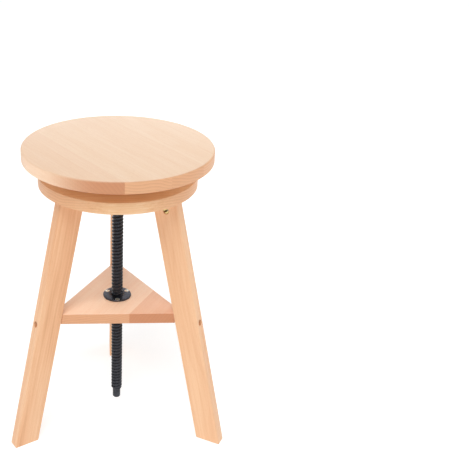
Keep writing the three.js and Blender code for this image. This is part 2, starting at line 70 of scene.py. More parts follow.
print("CAD box, mm:", [round(v / MM, 1) for v in (*cad_low, *cad_high)])

# %% [markdown]
# ## Sizes that come from the frame
#
# Nothing is measured twice. The screw's axis is the middle of the spindle's box, and every height and
# radius below is read from the box of the node that has it. Angles round the axis are counted from +X,
# counter-clockwise seen from above, so the back leg stands at 90 degrees.

# %% Read the frame
spindle_low, spindle_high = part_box("spindle")
AXIS = Vector(((spindle_low.x + spindle_high.x) / 2, (spindle_low.y + spindle_high.y) / 2, 0))
LEG_ANGLES = {"back": 90, "left": 210, "right": 330}


def levels(node):
    """Radius, bottom and top of a round node."""
    low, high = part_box(node)
    return (high.x - low.x) / 2, low.z, high.z


def from_axis(node):
    """Middle of a node, counted from the screw's axis."""
    low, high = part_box(node)
    return (low + high) / 2 - AXIS


SEAT_RADIUS, SEAT_BOTTOM, SEAT_TOP = levels("seat_panel")
HUB_RADIUS, HUB_BOTTOM, HUB_TOP = levels("hub_disc")
PLATE_RADIUS, PLATE_BOTTOM, PLATE_TOP = levels("support_plate")
THREAD_RADIUS, SPINDLE_FOOT, SPINDLE_TOP = levels("spindle")
_, STRETCHER_BOTTOM, STRETCHER_TOP = levels("stretcher")
print("seat", SEAT_RADIUS / MM, "plate", PLATE_RADIUS / MM, "axis y", round(AXIS.y / MM, 2))

# %% [markdown]
# ## Mesh tools
#
# Three small helpers make almost every solid here. `turned` spins an outline round the axis, as a lathe
# does. `board` makes a flat board from its outline and softens its edges with a bevel, as sandpaper
# does. `cut` drills holes with the Boolean modifier and keeps only the plain mesh it leaves.

# %% Mesh tools
SMOOTH_BELOW = math.radians(35)


def to_object(name, bm):
    """A bmesh becomes a piece at the origin, with smooth faces and crisp corners."""
    bmesh.ops.remove_doubles(bm, verts=bm.verts, dist=0.002 * MM)
    bmesh.ops.recalc_face_normals(bm, faces=bm.faces)
    mesh = bpy.data.meshes.new(name)
    bm.to_mesh(mesh)
    bm.free()
    return finished(bpy.data.objects.new(name, mesh))


def finished(obj):
    if obj.name not in bpy.context.scene.collection.objects:
        bpy.context.scene.collection.objects.link(obj)
    obj.data.shade_smooth()
    obj.data.set_sharp_from_angle(angle=SMOOTH_BELOW)
    return obj


def turned(name, outline, centre=AXIS, sides=160, bored=False):
    """Spins an outline of (radius, height) points. A bored piece's outline closes on itself."""
    bm = bmesh.new()
    rings = []
    for radius, height in outline:
        turns = [FULL_TURN * i / sides for i in range(sides)]
        points = [Vector((radius * math.cos(a), radius * math.sin(a), height)) for a in turns]
        rings.append([bm.verts.new(centre + p) for p in points])
    pairs = list(zip(rings, rings[1:]))
    if bored:
        pairs.append((rings[-1], rings[0]))
    for lower, upper in pairs:
        for i in range(sides):
            j = (i + 1) % sides
            bm.faces.new((lower[i], lower[j], upper[j], upper[i]))
    if not bored:
        bm.faces.new(list(reversed(rings[0])))
        bm.faces.new(rings[-1])
    return to_object(name, bm)


def arc(radius, height, size, start, end, steps):
    """Points of a round of the given size about (radius, height), between two angles in degrees."""
    turns = [math.radians(start + (end - start) * i / steps) for i in range(steps + 1)]
    return [(radius + size * math.cos(a), height + size * math.sin(a)) for a in turns]


def disc_outline(radius, low, high, top_round, bottom_round):
    """The edge of a disc, from its bottom face round to its top face."""
    lower = arc(radius - bottom_round, low + bottom_round, bottom_round, -90, 0, 4)
    upper = arc(radius - top_round, high - top_round, top_round, 0, 90, 6)
    return lower + upper


def prism(lower, upper, low, high):
    """A solid between two outlines with the same number of corners, one above the other."""
    bm = bmesh.new()
    bottom = [bm.verts.new((x, y, low)) for x, y in lower]
    top = [bm.verts.new((x, y, high)) for x, y in upper]
    bm.faces.new(list(reversed(bottom)))
    bm.faces.new(top)
    for i in range(len(top)):
        j = (i + 1) % len(top)
        bm.faces.new((bottom[i], bottom[j], top[j], top[i]))
    return bm


def board(name, corners, low, high, soften, upper_corners=None):
    """A flat board between two heights, with its edges rounded. Its ends may lean."""
    bm = prism(corners, upper_corners or corners, low, high)
    bmesh.ops.bevel(bm, geom=bm.edges[:], offset=soften, segments=3, profile=0.5, affect="EDGES")
    return to_object(name, bm)


def plain_mesh(obj):
    """The mesh that a piece's modifiers leave."""
    depsgraph = bpy.context.evaluated_depsgraph_get()
    return bpy.data.meshes.new_from_object(obj.evaluated_get(depsgraph), depsgraph=depsgraph)


def cut(obj, cutters):
    """Cuts the cutters out of a piece, then throws them away."""
    for cutter in cutters:
        step = obj.modifiers.new("hole", "BOOLEAN")
        step.operation = "DIFFERENCE"
        step.solver = "EXACT"
        step.object = cutter
    mesh = plain_mesh(obj)
    obj.modifiers.clear()
    obj.data = mesh
    for cutter in cutters:
        bpy.data.objects.remove(cutter)
    return finished(obj)


def moved(obj, matrix):
    obj.data.transform(matrix)
    return obj


def around(degrees):
    """Carries a piece drawn along +X from the origin to its place round the screw's axis."""
    return Matrix.Translation(AXIS) @ Matrix.Rotation(math.radians(degrees), 4, "Z")


# %% [markdown]
# ## Holes
#
# A drilled hole has a slightly broken edge, because the drill lifts the fibres and they are sanded off.
# So each cutter is a cylinder that flares a little at the mouth. It is drawn upright with its mouth at
# zero, and a matrix puts it in place. Where a wide hole goes on as a narrow one, the two cutters
# overlap, so that no skin of wood is left between them.

# %% Drills
FLARE = 0.5 * MM
OVERRUN = 3 * MM
OVERLAP = 1 * MM


def drill(radius, depth, matrix, sides=48):
    outline = [(radius, -depth), (radius, -FLARE), (radius + FLARE, 0), (radius + FLARE, OVERRUN)]
    return moved(turned("drill", outline, Vector(), sides), matrix)


def through(radius, low, high, sides=64):
    """A drill that goes right through, with both mouths broken."""
    outline = [
        (radius + FLARE, low - OVERRUN),
        (radius + FLARE, low),
        (radius, low + FLARE),
        (radius, high - FLARE),
        (radius + FLARE, high),
        (radius + FLARE, high + OVERRUN),
    ]
    return turned("drill", outline, AXIS, sides)


print("hole mouths flare by, mm:", FLARE / MM)

# %% [markdown]
# ## Beech
#
# Beech is pale and even. Close up it has soft streaks along the grain, faint growth rings, and short
# dark flecks. Wide pieces are glued up from narrower boards, and each board has its own figure.
#
# A solid texture does this best, because it runs through the piece as real wood does, and the sawn ends
# then show the ends of the same rings. Every wooden mesh carries two attributes. `grain` is a point's
# place in its board, in millimetres: along the grain, across it, and through the thickness.
# `end_grain` says how squarely a face cuts the fibres.

# %% Mark the grain on a mesh


def mark_grain(obj, along, up, origin, shift=0.0):
    """Stores where each point lies in its board, and how much each face is end grain.

    A shift along the grain gives each piece its own part of the figure.
    """
    along = Vector(along).normalized()
    up = (Vector(up) - Vector(up).dot(along) * along).normalized()
    across = up.cross(along)
    grain = obj.data.attributes.new("grain", "FLOAT_VECTOR", "POINT")
    places = []
    for vertex in obj.data.vertices:
        offset = (vertex.co - origin) / MM
        places += [offset.dot(along) + shift, offset.dot(across), offset.dot(up)]
    grain.data.foreach_set("vector", places)
    ends = obj.data.attributes.new("end_grain", "FLOAT", "FACE")
    ends.data.foreach_set("value", [abs(face.normal.dot(along)) for face in obj.data.polygons])
    return obj


def level(degrees):
    """A level direction at an angle from +X."""
    return Vector((math.cos(math.radians(degrees)), math.sin(math.radians(degrees)), 0))


# %% [markdown]
# ### A short way to write nodes
#
# `Nodes` works on any node tree. Its `add` makes one node, links or sets its inputs and returns one
# output, so the maths of the wood reads from top to bottom. `Shader` is the tree of one material.

# %% Node helpers


def tone(red, green, blue):
    """A colour given as it looks on a screen, 0 to 255, turned into linear light."""
    linear = [c / 12.92 if c <= 0.04045 else ((c + 0.055) / 1.055) ** 2.4 for c in
              (red / 255, green / 255, blue / 255)]
    return (*linear, 1.0)


class Nodes:
    def __init__(self, tree):
        self.tree = tree

    def add(self, kind, output, links, **settings):
        node = self.tree.nodes.new(kind)
        for key, value in settings.items():
            setattr(node, key, value)
        for socket, value in links.items():
            for item in value if isinstance(value, list) else [value]:
                if isinstance(item, bpy.types.NodeSocket):
                    self.tree.links.new(item, node.inputs[socket])
                else:
                    node.inputs[socket].default_value = item
        return node.outputs[output]

    def maths(self, operation, first, second=0.0, third=0.0):
        return self.add("ShaderNodeMath", 0, {0: first, 1: second, 2: third}, operation=operation)

    def rescale(self, value, low, high, to_low=0.0, to_high=1.0):
        links = {"Value": value, 1: low, 2: high, 3: to_low, 4: to_high}
        return self.add("ShaderNodeMapRange", 0, links, interpolation_type="SMOOTHSTEP")


class Shader(Nodes):
    def __init__(self, name):
        self.material = bpy.data.materials.new(name)
        self.material.use_nodes = True
        super().__init__(self.material.node_tree)
        self.surface = self.tree.nodes["Principled BSDF"]

    def vector(self, operation, first, second):
        return self.add("ShaderNodeVectorMath", 0, {0: first, 1: second}, operation=operation)

    def noise(self, place, scale, detail=3.0, roughness=0.55):
        stretched = self.vector("MULTIPLY", place, scale)
        links = {"Vector": stretched, "Scale": 1.0, "Detail": detail, "Roughness": roughness}
        return self.add("ShaderNodeTexNoise", 0, links)

    def blend(self, amount, first, second, how="MIX"):
        links = {"Factor": amount, 6: first, 7: second}
        return self.add("ShaderNodeMix", 2, links, data_type="RGBA", blend_type=how)

    def ramp(self, value, stops, interpolation="LINEAR"):
        node_output = self.add("ShaderNodeValToRGB", 0, {"Fac": value})
        ramp = node_output.node.color_ramp
        ramp.interpolation = interpolation
        while len(ramp.elements) < len(stops):
            ramp.elements.new(0.5)
        for element, (position, colour) in zip(ramp.elements, stops):
            element.position = position
            element.color = colour
        return node_output

    def bump(self, height, distance, strength):
        links = {"Height": height, "Distance": distance, "Strength": strength}
        return self.add("ShaderNodeBump", 0, links)

    def join(self, value, socket):
        self.tree.links.new(value, self.surface.inputs[socket])

    def set(self, **values):
        for socket, value in values.items():
            self.surface.inputs[socket.replace("_", " ")].default_value = value


# %% [markdown]
# ### The wood itself
#
# `beech` makes one wood for one piece. Its list of boards says where each glued board starts, measured
# across the grain, and what sets it apart: how red it is, where its figure starts, how dark its sawn
# ends are, and how far its growth rings are tilted. A colour ramp with hard steps hands those four
# numbers to the shader, one in each channel. Flat rings show as level lines on a sawn end, and tilted
# ones as slanting lines.
#
# The colour is built up from five noises, all stretched along the grain: broad bands, bends in the
# growth rings, soft streaks, fine fibres and the short dark flecks of the rays.

# %% Beech
Board = namedtuple("Board", "start red figure dark_end tilt", defaults=(0.0, 0.0, 0.4, 15))
BOARD_SPAN = 400.0  # millimetres across the grain that a list of boards covers
FIRST_EDGE = -BOARD_SPAN / 2  # where every piece's first board starts
RING_SPACING = 4.6
RING_WANDER = 26.0
BROAD_BANDS = (0.004, 0.05, 0.05)  # waves a millimetre along, across and through the board
RING_BENDS = (0.0028, 0.012, 0.012)
SOFT_STREAKS = (0.006, 0.3, 0.3)
FINE_FIBRES = (0.02, 0.9, 0.9)
RAY_FLECKS = (0.16, 1.9, 1.9)
PALE = tone(246, 208, 166)
MIDDLE = tone(236, 187, 140)
DARK = tone(205, 146, 100)
RED = tone(222, 150, 108)
PALE_END = tone(228, 172, 126)
DARK_END = tone(196, 126, 82)
RING_LINE = tone(176, 112, 74)


def beech(name, boards, contrast=1.0, pale=PALE, middle=MIDDLE):
    shader = Shader(name)
    place = shader.add("ShaderNodeAttribute", "Vector", {}, attribute_name="grain")
    ends = shader.add("ShaderNodeAttribute", "Fac", {}, attribute_name="end_grain")
    across = shader.add("ShaderNodeSeparateXYZ", 1, {0: place})
    share = shader.maths("MULTIPLY_ADD", across, 1 / BOARD_SPAN, 0.5)
    stops = []
    for board in boards:
        channels = (board.red, board.figure, board.dark_end, board.tilt / 360)
        stops.append(((board.start - FIRST_EDGE) / BOARD_SPAN, channels))
    in_board = shader.ramp(share, stops, "CONSTANT")
    red = shader.add("ShaderNodeSeparateColor", 0, {0: in_board})
    figure, dark_end = red.node.outputs[1], red.node.outputs[2]
    tilt = shader.maths("MULTIPLY", in_board.node.outputs[1], FULL_TURN)
    far_off = {0: (977.0, 531.0, 317.0), "Scale": figure}
    jump = shader.add("ShaderNodeVectorMath", 0, far_off, operation="SCALE")
    figure_place = shader.vector("ADD", place, jump)

    broad = shader.noise(figure_place, BROAD_BANDS, 3.0)
    warp = shader.noise(figure_place, RING_BENDS, 2.0)
    streaks = shader.noise(figure_place, SOFT_STREAKS, 2.0)
    fibres = shader.noise(figure_place, FINE_FIBRES, 2.0)
    specks = shader.noise(figure_place, RAY_FLECKS, 1.0)

    down = shader.add("ShaderNodeSeparateXYZ", 2, {0: place})
    sideways = shader.maths("MULTIPLY", across, shader.maths("SINE", tilt))
    depth = shader.maths("MULTIPLY_ADD", down, shader.maths("COSINE", tilt), sideways)
    bent = shader.maths("MULTIPLY_ADD", warp, RING_WANDER, depth)
    ring = shader.maths("FRACT", shader.maths("DIVIDE", bent, RING_SPACING))
    late = shader.maths("POWER", ring, 2.0)

    amount = shader.maths("MULTIPLY_ADD", late, 0.22, shader.rescale(broad, 0.3, 0.7, 0.0, 0.45))
    amount = shader.maths("ADD", amount, shader.rescale(streaks, 0.35, 0.75, 0.0, 0.38))
    amount = shader.maths("MULTIPLY_ADD", shader.rescale(fibres, 0.3, 0.7), 0.16, amount)
    amount = shader.maths("MULTIPLY", amount, contrast)
    colour = shader.ramp(amount, [(0.0, pale), (0.5, middle), (1.0, DARK)])
    colour = shader.blend(red, colour, RED)
    end = shader.blend(dark_end, PALE_END, DARK_END)
    end = shader.blend(shader.maths("MULTIPLY", late, 0.36), end, RING_LINE)
    colour = shader.blend(shader.rescale(ends, 0.12, 0.75, 0.0, 0.9), colour, end)
    fleck = shader.rescale(specks, 0.58, 0.70, 0.0, 0.14)
    colour = shader.blend(fleck, colour, DARK, "MULTIPLY")

    relief = shader.maths("MULTIPLY_ADD", fleck, -2.0, fibres)
    shader.join(colour, "Base Color")
    shader.join(shader.rescale(fibres, 0.25, 0.75, 0.42, 0.55), "Roughness")
    shader.join(shader.bump(relief, 0.04 * MM, 0.35), "Normal")
    shader.set(Specular_IOR_Level=0.45, Coat_Weight=0.10, Coat_Roughness=0.25)
    print(name, "boards", len(boards))
    return shader.material


# %% [markdown]
# ## Metal finishes
#
# The screw is blackened with hot oxide, which is almost black and takes a soft oily shine. The nuts
# have the same finish over a polished face, so they reflect more and look dark grey. The screws and
# bolts are bright zinc, and the barrel nuts are zinc passivated yellow. All of them have fine turning
# or rolling marks, too small to model, and slower stains, so both go into colour and roughness.

# %% Metal finishes


def worn_finish(name, colour, metallic, roughness, marks, mark_scale, stains):
    """One finish of an even colour.

    marks is how far the roughness wanders. mark_scale and stains say how often the fine marks and the
    slow stains come in a metre.
    """
    shader = Shader(name)
    place = shader.add("ShaderNodeTexCoord", "Object", {})
    fine = shader.noise(place, mark_scale, 2.0)
    slow = shader.noise(place, (stains, stains, stains), 2.0)
    worn = shader.maths("MULTIPLY_ADD", slow, 0.5, shader.maths("MULTIPLY", fine, 0.5))
    shader.join(shader.rescale(worn, 0.3, 0.7, roughness - marks, roughness + marks), "Roughness")
    lighter = tuple(min(1.0, 1.6 * c) for c in colour[:3]) + (1.0,)
    shader.join(shader.blend(shader.rescale(worn, 0.35, 0.75, 0.0, 0.6), colour, lighter), "Base Color")
    shader.join(shader.bump(fine, 0.02 * MM, 0.25), "Normal")
    shader.set(Metallic=metallic)
    return shader.material


black_oxide = worn_finish("black_oxide", tone(50, 52, 58), 0.6, 0.28, 0.08, (300, 300, 2500), 90)
gun_metal = worn_finish("gun_metal", tone(66, 68, 76), 0.9, 0.26, 0.10, (900, 900, 900), 160)
bright_zinc = worn_finish("bright_zinc", tone(232, 226, 208), 1.0, 0.30, 0.08, (2600, 2600, 400), 300)
yellow_zinc = worn_finish("yellow_zinc", tone(208, 182, 124), 1.0, 0.32, 0.10, (1800, 1800, 300), 300)
print("finishes:", black_oxide.name, gun_metal.name, bright_zinc.name, yellow_zinc.name)

# %% [markdown]
# ## The seat
#
# The seat is a disc 20 mm thick, with a thumb-smooth round along its upper edge and a small arris
# below. Its boards run at a slant to the front, so the rim shows end grain in one place and long grain
# in another. The screws that come up from the hub need pilot holes, so the sizes of the screws and
# bolts are settled first.

# %% Screw and bolt sizes
SCREW_HEAD = 4 * MM
SCREW_HEAD_HEIGHT = 2.4 * MM
SCREW_SHANK = 2 * MM
BOLT_HEAD = 5 * MM
HEAD_HEIGHT = 5 * MM
BOLT_SHANK = 3 * MM
CLEAR = 0.3 * MM


def ring_of(node, count):
    """The ring that a node is the first of: how many, the circle's radius and the first angle."""
    place = from_axis(node)
    return count, place.xy.length, math.degrees(math.atan2(place.y, place.x))


def ring_spots(ring, height, from_below):
    """Where the drills of a ring go. From below, they point up."""
    count, circle, phase = ring
    mouth = Matrix.Translation((circle, 0, height))
    if from_below:
        mouth = mouth @ Matrix.Rotation(math.pi, 4, "X")
    return [around(phase + 360 / count * i) @ mouth for i in range(count)]


def ring_drills(radius, depth, ring, height, from_below=False):
    return [drill(radius, depth, spot, 32) for spot in ring_spots(ring, height, from_below)]


print("screw head", 2 * SCREW_HEAD / MM, "bolt head", 2 * BOLT_HEAD / MM)

# %% The seat
HUB_SCREWS = ring_of("hub_screw_1", 4)
HUB_SCREW_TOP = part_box("hub_screw_1")[1].z
SEAT_GRAIN = -58
seat_boards = (
    Board(FIRST_EDGE, 0.08, 0.11, 0.9, 52),
    Board(-79.7, 0.0, 0.43, 0.12, 6),
    Board(-8, 0.02, 0.72, 0.2, 16),
    Board(64, 0.0, 0.27, 0.0, -12),
)
SEAT_PALE = tone(247, 217, 188)
SEAT_MIDTONE = tone(240, 203, 168)
seat_wood = beech("seat_beech", seat_boards, 0.38, SEAT_PALE, SEAT_MIDTONE)
seat = turned("seat", disc_outline(SEAT_RADIUS, SEAT_BOTTOM, SEAT_TOP, 3 * MM, 1 * MM), sides=240)
pilot = HUB_SCREW_TOP - SEAT_BOTTOM + CLEAR
cut(seat, ring_drills(SCREW_SHANK, pilot, HUB_SCREWS, SEAT_BOTTOM, from_below=True))
mark_grain(seat, level(SEAT_GRAIN), (0, 0, 1), AXIS)
seat.data.materials.append(seat_wood)
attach(seat, "seat")
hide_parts("seat_panel")
print("seat faces", len(seat.data.polygons))

# %% [markdown]
# ## The hub
#
# Under the seat a smaller disc takes the screw's flange. Only its side and its lower face ever show.
# The screws that hold it to the seat come up from below, in countersunk holes, so those holes are cut
# as cones. A shallow recess on top takes the flange at the head of the spindle. The hub's wood is
# painted darker and redder than the seat's, as painted shade for the shadow that the seat casts on it.

# %% The hub
FLANGE_RADIUS, FLANGE_BOTTOM, FLANGE_TOP = levels("spindle_flange")
FLANGE_SCREWS = ring_of("flange_screw_1", 4)
FLANGE_SCREW_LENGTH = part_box("flange_screw_1")[1].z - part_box("flange_screw_1")[0].z
SCREW_PLAY = 0.2 * MM
LONGER_THAN_ANY_SCREW = 20 * MM


def countersink(matrix):
    """A drill with a cone at its mouth, which a screw's head fills flush."""
    rim = SCREW_HEAD + SCREW_PLAY
    shank = SCREW_SHANK + SCREW_PLAY
    outline = [
        (shank, -LONGER_THAN_ANY_SCREW),
        (shank, -SCREW_HEAD_HEIGHT),
        (rim, -0.15 * MM),
        (rim, OVERRUN),
    ]
    return moved(turned("countersink", outline, Vector(), 32), matrix)


def ring_countersinks(ring, height, from_below=False):
    return [countersink(spot) for spot in ring_spots(ring, height, from_below)]


recess_mouth = Matrix.Translation(AXIS + Vector((0, 0, HUB_TOP)))
hub_holes = [
    through(THREAD_RADIUS + CLEAR, HUB_BOTTOM, HUB_TOP),
    drill(FLANGE_RADIUS + CLEAR, HUB_TOP - FLANGE_BOTTOM + CLEAR, recess_mouth),
]
hub_holes += ring_drills(SCREW_SHANK, FLANGE_SCREW_LENGTH, FLANGE_SCREWS, FLANGE_BOTTOM)
hub_holes += ring_countersinks(HUB_SCREWS, HUB_BOTTOM, from_below=True)
HUB_GRAIN = SEAT_GRAIN + 8
# Painted shade: the hub's tones are darkened and reddened to stand for the shade under the seat.
HUB_SHADED_PALE = tone(206, 146, 104)
HUB_SHADED_MIDTONE = tone(188, 128, 86)
hub = turned("hub", disc_outline(HUB_RADIUS, HUB_BOTTOM, HUB_TOP, 1 * MM, 1.2 * MM))
cut(hub, hub_holes)
mark_grain(hub, level(HUB_GRAIN), (0, 0, 1), AXIS, shift=700)
# Painted shade: the strong red and the dark sawn ends deepen the hub's painted shade.
hub_shaded_boards = (Board(FIRST_EDGE, 0.35, 0.31, 1.0), Board(12, 0.3, 0.66, 0.9, 30))
hub.data.materials.append(beech("hub_beech", hub_shaded_boards, 0.9, HUB_SHADED_PALE, HUB_SHADED_MIDTONE))
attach(hub, "seat")
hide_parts("hub_disc")
print("hub faces", len(hub.data.polygons))

# %% [markdown]
# ## The support plate
#
# The plate sits on the legs. It has a large hole for the upper nut and three counterbored holes for the
# bolts that go down into the legs.

# %% The support plate
NUT_BARREL = 14 * MM
NUT_SCREWS = ring_of("plate_nut_screw_1", 3)
NUT_SCREW_DEPTH = PLATE_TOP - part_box("plate_nut_screw_1")[0].z + CLEAR
DOWEL = 4 * MM
DOWELS = ring_of("leg_dowel_back", 3)
dowel_low, dowel_high = (corner.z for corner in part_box("leg_dowel_back"))
TOP_BOLTS = ring_of("top_bolt_back", 3)
top_bolt_low, top_bolt_high = (corner.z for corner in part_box("top_bolt_back"))

head_depth = PLATE_TOP - top_bolt_high + HEAD_HEIGHT + CLEAR
shank_from = PLATE_TOP - head_depth + OVERLAP
plate_holes = [through(NUT_BARREL + CLEAR, PLATE_BOTTOM, PLATE_TOP)]
plate_holes += ring_drills(BOLT_HEAD + CLEAR, head_depth, TOP_BOLTS, PLATE_TOP)
plate_holes += ring_drills(BOLT_SHANK + CLEAR, PLATE_TOP - PLATE_BOTTOM, TOP_BOLTS, shank_from)
plate_holes += ring_drills(DOWEL, dowel_high - PLATE_BOTTOM, DOWELS, PLATE_BOTTOM, from_below=True)
plate_holes += ring_drills(SCREW_SHANK, NUT_SCREW_DEPTH, NUT_SCREWS, PLATE_TOP)

# %% Turn and drill the plate
PLATE_ROUND = 1.2 * MM
PLATE_GRAIN = 4
plate_edge = disc_outline(PLATE_RADIUS, PLATE_BOTTOM, PLATE_TOP, PLATE_ROUND, PLATE_ROUND)
plate = cut(turned("plate", plate_edge, sides=240), plate_holes)
mark_grain(plate, level(PLATE_GRAIN), (0, 0, 1), AXIS, shift=1500)
plate_boards = (
    Board(FIRST_EDGE, 0.0, 0.52, 0.0, 6),
    Board(-40, 0.04, 0.8, 0.1, 12),
    Board(60, 0.0, 0.2, 0.0, -8),
)
plate.data.materials.append(beech("plate_beech", plate_boards, 0.7))
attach(plate, "frame")
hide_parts("support_plate")
print("plate faces", len(plate.data.polygons))

# %% [markdown]
# ## The legs
#
# Each leg is one straight board, sawn level at both ends. It is drawn lying along +X as a flat outline
# and stood up, and then carried to its place round the axis. The holes that show are a counterbore
# through the outer edge for the stretcher's bolt and a blind hole in one face for the barrel nut that
# the top bolt screws into. The top bolt and a dowel beside it go into the leg's upper end.

# %% Leg sizes
LEG_SPLAY = math.radians(12.7)
leg_low, leg_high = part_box("leg_back")
LEG_TOP = leg_high.z
LEG_THICKNESS = leg_high.x - leg_low.x
LEG_FOOT_OUT = leg_high.y - AXIS.y
LEG_TOP_IN = leg_low.y - AXIS.y
LEG_SECTION = LEG_FOOT_OUT - LEG_TOP_IN - LEG_TOP * math.tan(LEG_SPLAY)
STRETCHER_MIDDLE = (STRETCHER_TOP + STRETCHER_BOTTOM) / 2
TOP_NUT_AT = from_axis("top_barrel_nut_back")
SIDE_BOLT_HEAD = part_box("stretcher_bolt_back")[1].y - AXIS.y
BARREL_NUT = 5 * MM
BARREL_NUT_LENGTH = 14 * MM
print("leg section", round(LEG_SECTION / MM, 2), "foot out", round(LEG_FOOT_OUT / MM, 2))


def leg_outer(height):
    return LEG_FOOT_OUT - height * math.tan(LEG_SPLAY)


def leg_inner(height):
    return leg_outer(height) - LEG_SECTION


# %% Cut and drill a leg
STAND_UP = Matrix.Rotation(math.pi / 2, 4, "X")
FACE_OUT = Matrix.Rotation(math.pi / 2, 4, "Y")
SLANT_START = 1.4 * MM  # the outer edge slants, so the drill starts a little outside it
LEG_GRAIN_START, LEG_GRAIN_STEP = 2300, 900


def leg(side):
    corners = [(leg_inner(0), 0), (leg_outer(0), 0)]
    corners += [(leg_outer(LEG_TOP), LEG_TOP), (leg_inner(LEG_TOP), LEG_TOP)]
    wood = board(f"leg_{side}_board", corners, -LEG_THICKNESS / 2, LEG_THICKNESS / 2, 1.1 * MM)
    moved(wood, STAND_UP)
    to_side = Matrix.Translation((0, 0, STRETCHER_MIDDLE)) @ FACE_OUT
    bolt_depth = leg_outer(STRETCHER_MIDDLE) - SIDE_BOLT_HEAD + HEAD_HEIGHT + CLEAR
    mouth = Matrix.Translation((leg_outer(STRETCHER_MIDDLE) + SLANT_START, 0, 0)) @ to_side
    face = Matrix.Translation((TOP_NUT_AT.y, -LEG_THICKNESS / 2, TOP_NUT_AT.z)) @ STAND_UP
    inner = Matrix.Translation((leg_outer(STRETCHER_MIDDLE) - bolt_depth + OVERLAP, 0, 0)) @ to_side
    upper = Matrix.Translation((TOP_BOLTS[1], 0, LEG_TOP))
    dowel = Matrix.Translation((DOWELS[1], 0, LEG_TOP))
    cut(wood, [
        drill(BOLT_HEAD + CLEAR, bolt_depth + SLANT_START, mouth),
        drill(BOLT_SHANK + CLEAR, LEG_SECTION, inner, 32),
        drill(BARREL_NUT + CLEAR, BARREL_NUT_LENGTH + CLEAR, face),
        drill(BOLT_SHANK + CLEAR, LEG_TOP - top_bolt_low + CLEAR, upper, 32),
        drill(DOWEL, LEG_TOP - dowel_low, dowel, 32),
    ])
    moved(wood, around(LEG_ANGLES[side]))
    down = level(LEG_ANGLES[side]) * math.sin(LEG_SPLAY) - Vector((0, 0, math.cos(LEG_SPLAY)))
    middle = AXIS + level(LEG_ANGLES[side]) * (leg_inner(0) + leg_outer(0)) / 2
    shift = LEG_GRAIN_START + LEG_GRAIN_STEP * LEG_ANGLES[side]
    mark_grain(wood, down, level(LEG_ANGLES[side] + 90), middle, shift)
    return wood


# %% The three legs
LEG_FIGURE = {"back": (0.6, 35), "left": (0.75, 72), "right": (0.5, 20)}  # contrast, tilt of the rings
LEG_PALE = tone(240, 196, 155)
LEG_MIDTONE = tone(229, 176, 133)
for side in LEG_ANGLES:
    wood = leg(side)
    contrast, tilt = LEG_FIGURE[side]
    one_board = (Board(FIRST_EDGE, tilt=tilt),)
    leg_wood = beech(f"leg_{side}_beech", one_board, contrast, LEG_PALE, LEG_MIDTONE)
    wood.data.materials.append(leg_wood)
    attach(wood, "frame")
    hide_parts(f"leg_{side}")
    print(wood.name, "faces", len(wood.data.polygons))

# %% [markdown]
# ## The stretcher
#
# The stretcher is a triangle with its corners cut off where they meet the legs. Its ends lean a little
# less than the legs do, which leaves the thin dark wedge that shows beside each leg. It is glued from
# two boards, and the narrower one is clearly redder.

# %% The stretcher
END_LAG = math.radians(4)
STRETCHER_LEAN = math.tan(LEG_SPLAY - END_LAG)
END_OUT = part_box("stretcher")[1].y - AXIS.y
END_TOP_OUT = END_OUT - (STRETCHER_TOP - STRETCHER_BOTTOM) * STRETCHER_LEAN
LOWER_NOSE = 4 * (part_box("stretcher")[1].x - END_OUT * math.cos(math.radians(30)))
STRETCHER_GRAIN = 60


def stretcher_corners(reach, nose):
    corners = []
    for turn in LEG_ANGLES.values():
        out = AXIS + level(turn) * reach
        sideways = level(turn + 90) * nose / 2
        corners += [(out - sideways).xy, (out + sideways).xy]
    return corners


# %% Cut and drill the stretcher
upper_nose = LOWER_NOSE + 2 * (END_OUT - END_TOP_OUT) * math.tan(math.radians(30))
SIDE_NUTS = ring_of("stretcher_barrel_nut_back", 3)
stretcher = board(
    "stretcher_board", stretcher_corners(END_OUT, LOWER_NOSE), STRETCHER_BOTTOM, STRETCHER_TOP,
    0.8 * MM, stretcher_corners(END_TOP_OUT, upper_nose),
)
stretcher_holes = [through(NUT_BARREL + CLEAR, STRETCHER_BOTTOM, STRETCHER_TOP)]
side_nut_hole = (BARREL_NUT + CLEAR, BARREL_NUT_LENGTH + 2 * CLEAR)
stretcher_holes += ring_drills(*side_nut_hole, SIDE_NUTS, STRETCHER_BOTTOM, from_below=True)
stretcher_holes += ring_drills(SCREW_SHANK, NUT_SCREW_DEPTH, NUT_SCREWS, STRETCHER_TOP)
side_bolt_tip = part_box("stretcher_bolt_back")[0].y - AXIS.y
end_mouth = Matrix.Translation((END_OUT, 0, STRETCHER_MIDDLE)) @ FACE_OUT
for turn in LEG_ANGLES.values():
    depth = END_OUT - side_bolt_tip + CLEAR
    stretcher_holes.append(drill(BOLT_SHANK + CLEAR, depth, around(turn) @ end_mouth, 32))
cut(stretcher, stretcher_holes)
mark_grain(stretcher, level(STRETCHER_GRAIN), (0, 0, 1), AXIS, shift=5200)

# %% The stretcher's two boards
# Painted light: these tones are paler than the other beech, to lift the stretcher out of the shade under
# the seat and plate.
STRETCHER_LIGHTENED_PALE = tone(255, 226, 200)
STRETCHER_LIGHTENED_MIDTONE = tone(250, 210, 178)
stretcher_boards = (Board(FIRST_EDGE, 0.4, 0.61, 0.95, 60), Board(-50.3, 0.04, 0.36, 0.35, 10))
stretcher_lightened_wood = beech("stretcher_beech", stretcher_boards, 0.5, STRETCHER_LIGHTENED_PALE, STRETCHER_LIGHTENED_MIDTONE)
stretcher.data.materials.append(stretcher_lightened_wood)
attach(stretcher, "frame")
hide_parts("stretcher")
print("stretcher faces", len(stretcher.data.polygons))

# %% [markdown]
# ## The thread
#
# A thread follows one rule: its surface rises by the pitch in each turn. That is a job for Geometry
# Nodes. A flat grid is wrapped round the axis, with its columns as the angle and its rows as the height.
# The rows lean with the helix, so that each of them stays on the same line of the thread and the crest
# comes out clean. Both ends are clamped to the rod's length and closed with a disc.
#
# `Tree` writes geometry nodes in the same short way. Its `grow` runs the tree and leaves a plain mesh.

# %% A short way to write geometry nodes


